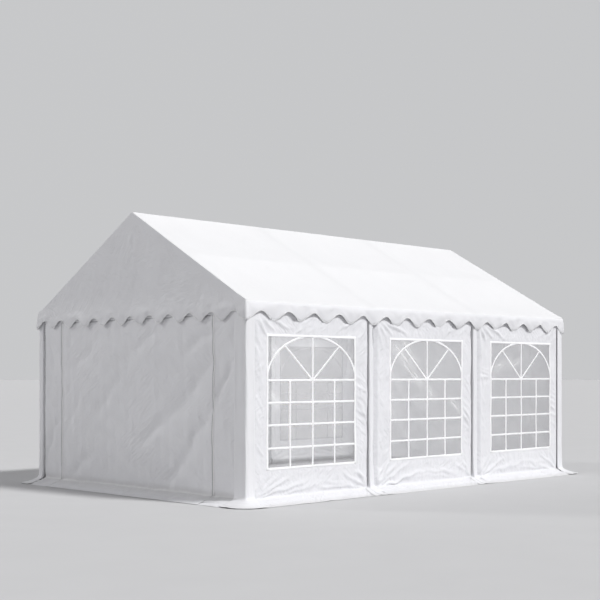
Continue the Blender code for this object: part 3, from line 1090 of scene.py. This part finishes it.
for (side, index), wall in side_walls.items():
    order = tube_order(side, index)
    film = piece_of(film_mesh(side, index), clear_film, FILM)
    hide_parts(f"window_film_{side}_{order}")
    strips = [strip_grid(side, *path) for path in window_paths((index - 1) * BAY)]
    bars = piece_of(grid_mesh(f"window_bars_{side}_{index + 1}", strips), window_strip, FILM)
print("windows", len(side_walls))

# %% [markdown]
# ## Gable walls and their zipped doors
# Each gable has a strip of wall at either side and a wide door between two zips. The
# door rolls up, so it has no hinge. Broad soft folds run down and across it, where the
# cloth hangs slack between its zips. They are bell curves, as on the side walls but much
# wider, because slack cloth bends where tight cloth creases.

# %% Gable relief
GABLE_ENDS = (-1.868, 1.86)
DOOR_ENDS = (-1.465, 1.465)
DOOR_TOP = 2.045
GABLE_MARKS = [
    [1.52, 1.62, 0.80, 0.94, 0.080, -0.016],
    [0.96, 1.08, 0.06, 0.56, 0.085, -0.015],
    [1.50, 1.10, 1.06, 0.56, 0.070, -0.016],
    [1.28, 0.76, 0.56, 0.10, 0.080, -0.013],
    [1.80, 1.58, 1.46, 1.02, 0.055, -0.012],
    [1.50, 1.90, 0.94, 1.62, 0.060, -0.010],
    [0.60, 1.95, -0.30, 1.50, 0.080, -0.007],
    [-0.20, 1.40, -0.90, 0.80, 0.090, -0.007],
    [-0.60, 1.90, -1.30, 1.40, 0.080, -0.006],
    [-1.30, 0.10, -0.70, 0.50, 0.060, -0.007],
    [-1.00, 1.20, -1.44, 0.60, 0.060, -0.006],
    [0.30, 0.10, -0.20, 0.45, 0.060, -0.006],
    [1.45, 0.10, 1.15, 0.35, 0.040, -0.008],
    [-1.86, 0.30, -1.50, 0.90, 0.045, -0.006],
    [-1.85, 1.90, -1.55, 1.40, 0.045, -0.006],
]
FOLD_SHARE = 2.0


def gable_relief(run, height):
    """How far a gable's wall stands out: broad diagonal folds and small crinkles."""
    bent = run + 0.02 * wander(run, height, 61, 0.5)
    field = FOLD_SHARE * creases(bent, height, GABLE_MARKS)
    field = field + 0.006 * wander(run, height * 0.8, 62, 0.9)
    field = field + 0.0022 * wander(run, height, 63, 0.22)
    ends = rise(run, -1.87, -1.80) * (1 - rise(run, 1.76, 1.82))
    return field * (1 - 0.95 * rise(height, 1.9, 2.05)) * ends + 0.0015


# %% Gable walls and doors
GABLE_STEP = 0.021
START_TUCK = 0.014
COIL_ROWS = (-0.004, -0.001, 0.001, 0.004)
COIL_PROUD = 0.0010
BAND_ROWS = (0.006, 0.012, 0.020, 0.024)
BAND_PROUD = 0.0012
ZIP_FOOT = 0.085
TAPE_THICK = 0.0012


def door_cells(runs, downs):
    """The cells of a gable wall where its door is."""
    cell_run = (runs[:-1] + runs[1:]) / 2
    cell_height = WALL_TOP - (downs[:-1] + downs[1:]) / 2
    across_door = (cell_run > DOOR_ENDS[0]) & (cell_run < DOOR_ENDS[1])
    return (cell_height < DOOR_TOP)[:, None] & across_door


def gable_panel(side, name, ends, top, door):
    """A gable wall with its door's opening, or the door itself when `door` is 1."""
    runs = wall_runs(*ends, GABLE_STEP, DOOR_ENDS)
    downs = wall_downs(GABLE_STEP, (WALL_TOP - DOOR_TOP,))
    downs = downs[downs >= WALL_TOP - top - 1e-6]
    run, down = np.meshgrid(runs, downs)
    out, height, share = hung(down, foot_reach(run, 70 + door))
    relief = gable_relief(run, height) * (1 - 0.8 * share)
    from_zip = np.minimum(np.abs(run - DOOR_ENDS[0]), np.abs(run - DOOR_ENDS[1]))
    relief = relief - 0.002 * (1 - rise(from_zip, 0.0, 0.02)) * (1 - share)
    relief = relief - undercut(height, share)
    if not door:
        at_start = 1 - rise(run - ends[0], 0.0, 0.014)
        relief = relief - START_TUCK * at_start * (1 - share) * (height < DOOR_TOP + 0.005)
    lift = flap_ripple(run, share, 80 + door, 0.3) + 0.003 * door * share
    place = on_side(side, run, out + relief, height + lift)
    kept = all_cells(place)
    if not door:
        kept = kept & ~door_cells(runs, downs)
    return grid_mesh(f"{name}_{side}", [(place, np.stack([run, down], -1), kept)])


def zip_strip(side, zip_run, rows, proud):
    """A strip down a door's edge, from its top to the fold. Its rows are distances from the
    zip, and it lies proud of the wall."""
    heights = np.linspace(DOOR_TOP, ZIP_FOOT, 120)
    run, height = np.broadcast_arrays(np.array(rows)[:, None] + zip_run, heights[None])
    place = on_side(side, run, gable_relief(run, height) + proud, height)
    flat = np.stack([height, run - zip_run - rows[0]], -1)
    return place, flat, all_cells(place)


for side in ("front", "back"):
    wall_mesh = gable_panel(side, "gable_wall_cloth", GABLE_ENDS, WALL_TOP, 0)
    door_mesh = gable_panel(side, "gable_door_cloth", DOOR_ENDS, DOOR_TOP, 1)
    wall = piece_of(wall_mesh, gable_cloth, CLOTH)
    door = piece_of(door_mesh, gable_cloth, CLOTH)
    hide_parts(f"gable_wall_{side}")
    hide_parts(f"gable_door_{side}")
    coil_strips = [zip_strip(side, run, COIL_ROWS, COIL_PROUD) for run in DOOR_ENDS]
    band_strips = [zip_strip(side, run, BAND_ROWS, BAND_PROUD) for run in DOOR_ENDS]
    coils = piece_of(grid_mesh(f"zip_{side}", coil_strips), zip_coil, TAPE_THICK)
    bands = piece_of(grid_mesh(f"zip_band_{side}", band_strips), hem_cloth, TAPE_THICK)
    print("gable faces", side, len(wall_mesh.polygons) + len(door_mesh.polygons))

# %% [markdown]
# ## Covers over the legs and corners
# A flap of wall cloth wraps each leg. Beside it stays a narrow dark slit, with a black
# strip of painted shade at its back. A tube of cloth round the leg would be the simplest
# cover, but it would have neither the slit's sharp edge nor the valley on its other side.
# So its section is a profile in the plan, from behind the slit over the leg and down into
# the valley, and this profile is carried down the wall's path. At the foot the cover
# flares like a bell.

# %% Leg covers
COVER_DROP = 0.05
COVER_STEP = 0.03
LEG_MIDDLES = {2: -0.991, 3: 1.004}
COVER_EDGE = [
    (-0.150, -0.040), (-0.120, -0.040), (-0.098, -0.040), (-0.086, -0.036), (-0.080, -0.026),
    (-0.0785, -0.012), (-0.077, -0.003), (-0.074, 0.003), (-0.068, 0.0065), (-0.058, 0.0070),
]
COVER_FOLDS = {
    2: [
        (-0.046, 0.0060), (-0.034, 0.0035), (-0.022, 0.0012), (-0.010, -0.0008), (0.002, -0.0030),
        (0.0095, -0.0092), (0.0135, -0.0185), (0.0165, -0.0232), (0.030, -0.0244), (0.080, -0.0244),
    ],
    3: [
        (-0.046, 0.0040), (-0.034, 0.0018), (-0.022, 0.0002), (-0.010, -0.0008), (0.002, -0.0022),
        (0.0105, -0.0052), (0.0155, -0.0130), (0.0185, -0.0222), (0.030, -0.0244), (0.080, -0.0244),
    ],
}


def leg_cover(side, number):
    """A cover over a side leg. Each place of its profile is a distance from the leg's middle
    and a depth. Pleats and the bell's flare are added where the profile faces outward, and
    on the ground flap the cover spreads and its edge lifts."""
    profile = np.array(COVER_EDGE + COVER_FOLDS[number])
    downs = wall_downs(COVER_STEP)
    downs = downs[downs >= COVER_DROP]
    down, index = np.meshgrid(downs, np.arange(len(profile)), indexing="ij")
    aside, depth = profile[index][..., 0], profile[index][..., 1]
    run = LEG_MIDDLES[number] + aside
    out, height, share = hung(down, FLAP * 1.02, 0.024)
    top = 1 - rise(height, 1.98, 2.1)
    pleats = 0.0016 * wander(run * 3, height * 0.2, number, 0.12) * top * (aside < 0.01)
    bell = 0.010 * np.exp(-np.clip(height - FOLD, 0, None) / 0.12)
    flare = bell * (1 - rise(aside, -0.01, 0.03))
    outward = rise(aside, -0.078, -0.066) * (1 - share)
    over = depth * (1 - rise(share, 0.0, 0.12)) + outward * (pleats + flare)
    over = np.where((top < 1) & (over > 0), over * top, over)
    spread = aside * 0.5 * share
    edge = np.exp(-np.clip(aside + 0.077, 0, None) / 0.020) * (aside > -0.079)
    lift = 0.003 * share + 0.010 * edge * share
    place = on_side(side, run + spread, out + over, height + lift)
    steps = np.linalg.norm(np.diff(profile, axis=0), axis=1)
    wide = np.concatenate([[0], np.cumsum(steps)])
    flat = np.stack([wide[index], down], -1)
    return grid_mesh(f"leg_cover_{side}_{number}", [(place, flat, all_cells(place))])


for side in ("right", "left"):
    for number in LEG_MIDDLES:
        order = number if side == "right" else 5 - number
        piece = piece_of(leg_cover(side, number), cover_cloth, CLOTH)
print("leg covers on a side", len(LEG_MIDDLES))

# %% [markdown]
# ### A black strip of painted shade in the slits
# Where two flaps of wall meet, a black, dull strip lies behind the gap. It is painted
# shade, which makes each slit as dark as a deep shadow. It lies well behind the cloth, so
# it shows as a thin dark line beside each leg. The line could be painted on the cover, but
# a real gap with a dark strip in it stays right from any side.

# %% Black strips of painted shade in the slits
SLIT_SHADE_BACK = 0.030
SLIT_SHADE_BEFORE = 0.025
SLIT_SHADE_AFTER = 0.012
SLIT_SHADE_TOP = 2.09
SLIT_SHADE_FOOT = 0.03
SLIT_SHADE_THICK = 0.002
SLIT_PLACES = [(side, run) for side in ("right", "left") for run in SLITS]
SLIT_PLACES += [("front", -1.881), ("back", -1.881)]

# Each strip is black: painted shade at the back of a slit.
for number, (side, middle) in enumerate(SLIT_PLACES):
    runs = np.linspace(middle - SLIT_SHADE_BEFORE, middle + SLIT_SHADE_AFTER, 4)
    run, height = np.meshgrid(runs, np.linspace(SLIT_SHADE_TOP, SLIT_SHADE_FOOT, 60))
    place = on_side(side, run, np.full(run.shape, -SLIT_SHADE_BACK), height)
    flat = np.stack([run - middle, SLIT_SHADE_TOP + 0.01 - height], -1)
    slit_shade_mesh = grid_mesh(f"slit_shade_strip_{number + 1}", [(place, flat, all_cells(place))])
    slit_shade_piece = piece_of(slit_shade_mesh, slit_shade_strip, SLIT_SHADE_THICK)
print("hook tapes", len(SLIT_PLACES))

# %% [markdown]
# ### Corner covers
# At a corner the cover goes round the leg. Two flat covers that meet would leave a sharp
# seam. Instead its path in the plan is two straight runs whose meeting is rounded, and
# the flare at the foot follows its outward direction, so it spreads like a fan. Each
# corner has the sides that it joins and how far it reaches along each of them.

# %% Corner covers
CORNERS = {
    "front_right": ("front", "right", 0.180, 0.123),
    "back_left": ("back", "left", 0.180, 0.123),
    "back_right": ("right", "back", 0.130, 0.110),
    "front_left": ("left", "front", 0.130, 0.110),
}
CORNER_BEND = 0.018
NEAR_BEND = np.array([0.0, 0.004, 0.009, 0.015, 0.023, 0.034, 0.050, 0.070, 0.095])
NEAR_RIM = np.array([0, 0.003, 0.006, 0.012, 0.02, 0.03])
WIDE_START = 0.15


def corner_path(first, second, run):
    """The path in the plan and its outward direction. How far it goes back along the first
    side and ahead along the second are the soft parts of minus and plus the run, and the
    direction turns from one side's to the other's by the slopes of the same two curves."""
    half_first, facing_first, right_first = SIDES[first]
    half_second, facing_second, right_second = SIDES[second]
    corner = facing_first * half_first + facing_second * half_second
    back = soft_part(-run, CORNER_BEND)
    ahead = soft_part(run, CORNER_BEND)
    bent = run / np.sqrt(run**2 + CORNER_BEND**2)
    outward = ((1 - bent) / 2)[..., None] * facing_first + ((1 + bent) / 2)[..., None] * facing_second
    outward = outward / np.linalg.norm(outward, axis=-1, keepdims=True)
    return corner - right_first * back[..., None] + right_second * ahead[..., None], outward


def corner_cover(name, first, second, before, after):
    """A cover round a corner leg, from a run before the corner to one after it. A narrow
    one starts at a slit, so its edges have a lip that turns in."""
    runs = np.unique(np.concatenate([-NEAR_BEND, NEAR_BEND, NEAR_RIM - before, after - NEAR_RIM]))
    runs = runs[(runs >= -before) & (runs <= after)]
    downs = wall_downs(COVER_STEP)
    run, down = np.meshgrid(runs, downs[downs >= COVER_DROP])
    path, outward = corner_path(first, second, run)
    out, height, share = hung(down, FLAP, 0.026)
    edge = np.minimum(run + before, after - run)
    top = 1 - rise(height, 1.98, 2.1)
    bell = 0.012 * np.exp(-np.clip(height - FOLD, 0, None) / 0.10) * rise(edge, 0, 0.04)
    pleats = 0.0010 * wander(run * 2.5, height * 0.2, len(name), 0.10) * top
    ridge = 0.0025 * np.exp(-(((edge - 0.012) / 0.009) ** 2))
    relief = pleats + ridge + bell
    if before < WIDE_START:
        relief = relief + 0.004 * np.exp(-((edge / 0.020) ** 2)) - 0.012 * (1 - rise(edge, 0, 0.006))
    over = 0.0026 + relief * top * (1 - share)
    place = path + outward * (out + over)[..., None]
    place[..., 2] = height + 0.004 * share + 0.003 * share * (1 + wander(run, share, 7, 0.12))
    return grid_mesh(f"corner_cover_{name}", [(place, np.stack([run, down], -1), all_cells(place))])


for name, (first, second, before, after) in CORNERS.items():
    piece = piece_of(corner_cover(name, first, second, before, after), cover_cloth, CLOTH)
    width = before + after
print("corner covers", len(CORNERS))

# %% [markdown]
# ## Floor, backdrop and light
# A pale floor and a pale round backdrop, which throws no light, stand for a studio. One
# lamp could light the tent, but then the gable would be black. So a soft key light comes
# from the right and above, a little from behind, a weaker one falls on the gable from the
# left and the front, and an even dim sky fills in. White cloth also lets some daylight
# through. Two dim lamps inside the tent stand for it: a wide one under the roof, and a
# small one that faces the left side's walls, which show through the right side's windows.

# %% Floor and backdrop
FLOOR_REACH = 300
BACKDROP_REACH = 295
BACKDROP_HEIGHTS = (-5.0, 40, 100, 200)
BACKDROP_GREY = (0.56, 0.565, 0.575, 1)
FLOOR_DARK = (0.54, 0.54, 0.545, 1)
FLOOR_LIGHT = (0.57, 0.57, 0.575, 1)

shape = bmesh.new()
bmesh.ops.create_circle(shape, cap_ends=True, segments=96, radius=FLOOR_REACH)
floor_mesh = bpy.data.meshes.new("floor")
shape.to_mesh(floor_mesh)
shape.free()
floor = added("floor", floor_mesh)
floor.location.z = -0.0005
floor_matter, shade, surface = start_material("floor_matter", Roughness=0.9)
grain = shade.noise(shade.make("TexCoord", output=3), 1.5, 4.0)
feed(surface, "Base Color", shade.mix(grain, FLOOR_DARK, FLOOR_LIGHT))
floor_mesh.materials.append(floor_matter)

turn, height = np.meshgrid(np.linspace(0, math.tau, 97), np.array(BACKDROP_HEIGHTS))
place = np.stack([BACKDROP_REACH * np.cos(turn), BACKDROP_REACH * np.sin(turn), height], -1)
backdrop_mesh = grid_mesh("backdrop", [(place, place[..., :2], all_cells(place))])
backdrop = added("backdrop", backdrop_mesh)
backdrop_matter, shade, surface = start_material("backdrop_matter", Roughness=1.0)
surface.inputs["Base Color"].default_value = (0, 0, 0, 1)
surface.inputs["Emission Color"].default_value = BACKDROP_GREY
surface.inputs["Emission Strength"].default_value = 1.0
backdrop_mesh.materials.append(backdrop_matter)
backdrop.visible_diffuse = False
backdrop.visible_shadow = False
print("stage set")

# %% Lights
SUN_SPREAD = 8
SUNS = [
    ("key_light", (0.66, 0.18, 0.73), 2.73),
    ("gable_light", (-0.80, -0.50, 0.44), 0.66),
]
for name, (x, y, z), strength in SUNS:
    sun_data = bpy.data.lights.new(name, "SUN")
    sun_data.energy = strength
    sun_data.angle = math.radians(SUN_SPREAD)
    sun = added(name, sun_data)
    sun.rotation_euler = (0, math.atan2(math.hypot(x, y), z), math.atan2(y, x))

GLOWS = [
    ("roof_glow", (0, 0, 2.10), (0, 0), (3.4, 5.4), 48),
    ("wall_glow", (-0.5, 1.75, 1.35), (90, 15), (1.5, 1.4), 12),
]
for name, place, (tilt, turn), (length, width), power in GLOWS:
    glow_data = bpy.data.lights.new(name, "AREA")
    glow_data.shape = "RECTANGLE"
    glow_data.size = length
    glow_data.size_y = width
    glow_data.energy = power
    glow = added(name, glow_data)
    glow.location = place
    glow.rotation_euler = (0, math.radians(tilt), math.radians(turn))
    glow.visible_camera = False

SKY = (0.97, 0.97, 1.0, 1)
SKY_STRENGTH = 0.338
world = bpy.data.worlds.new("sky")
world.use_nodes = True
world.node_tree.nodes["Background"].inputs["Color"].default_value = SKY
world.node_tree.nodes["Background"].inputs["Strength"].default_value = SKY_STRENGTH
bpy.context.scene.world = world
bpy.context.scene.view_settings.view_transform = "Standard"
print("lights", len(SUNS) + len(GLOWS))
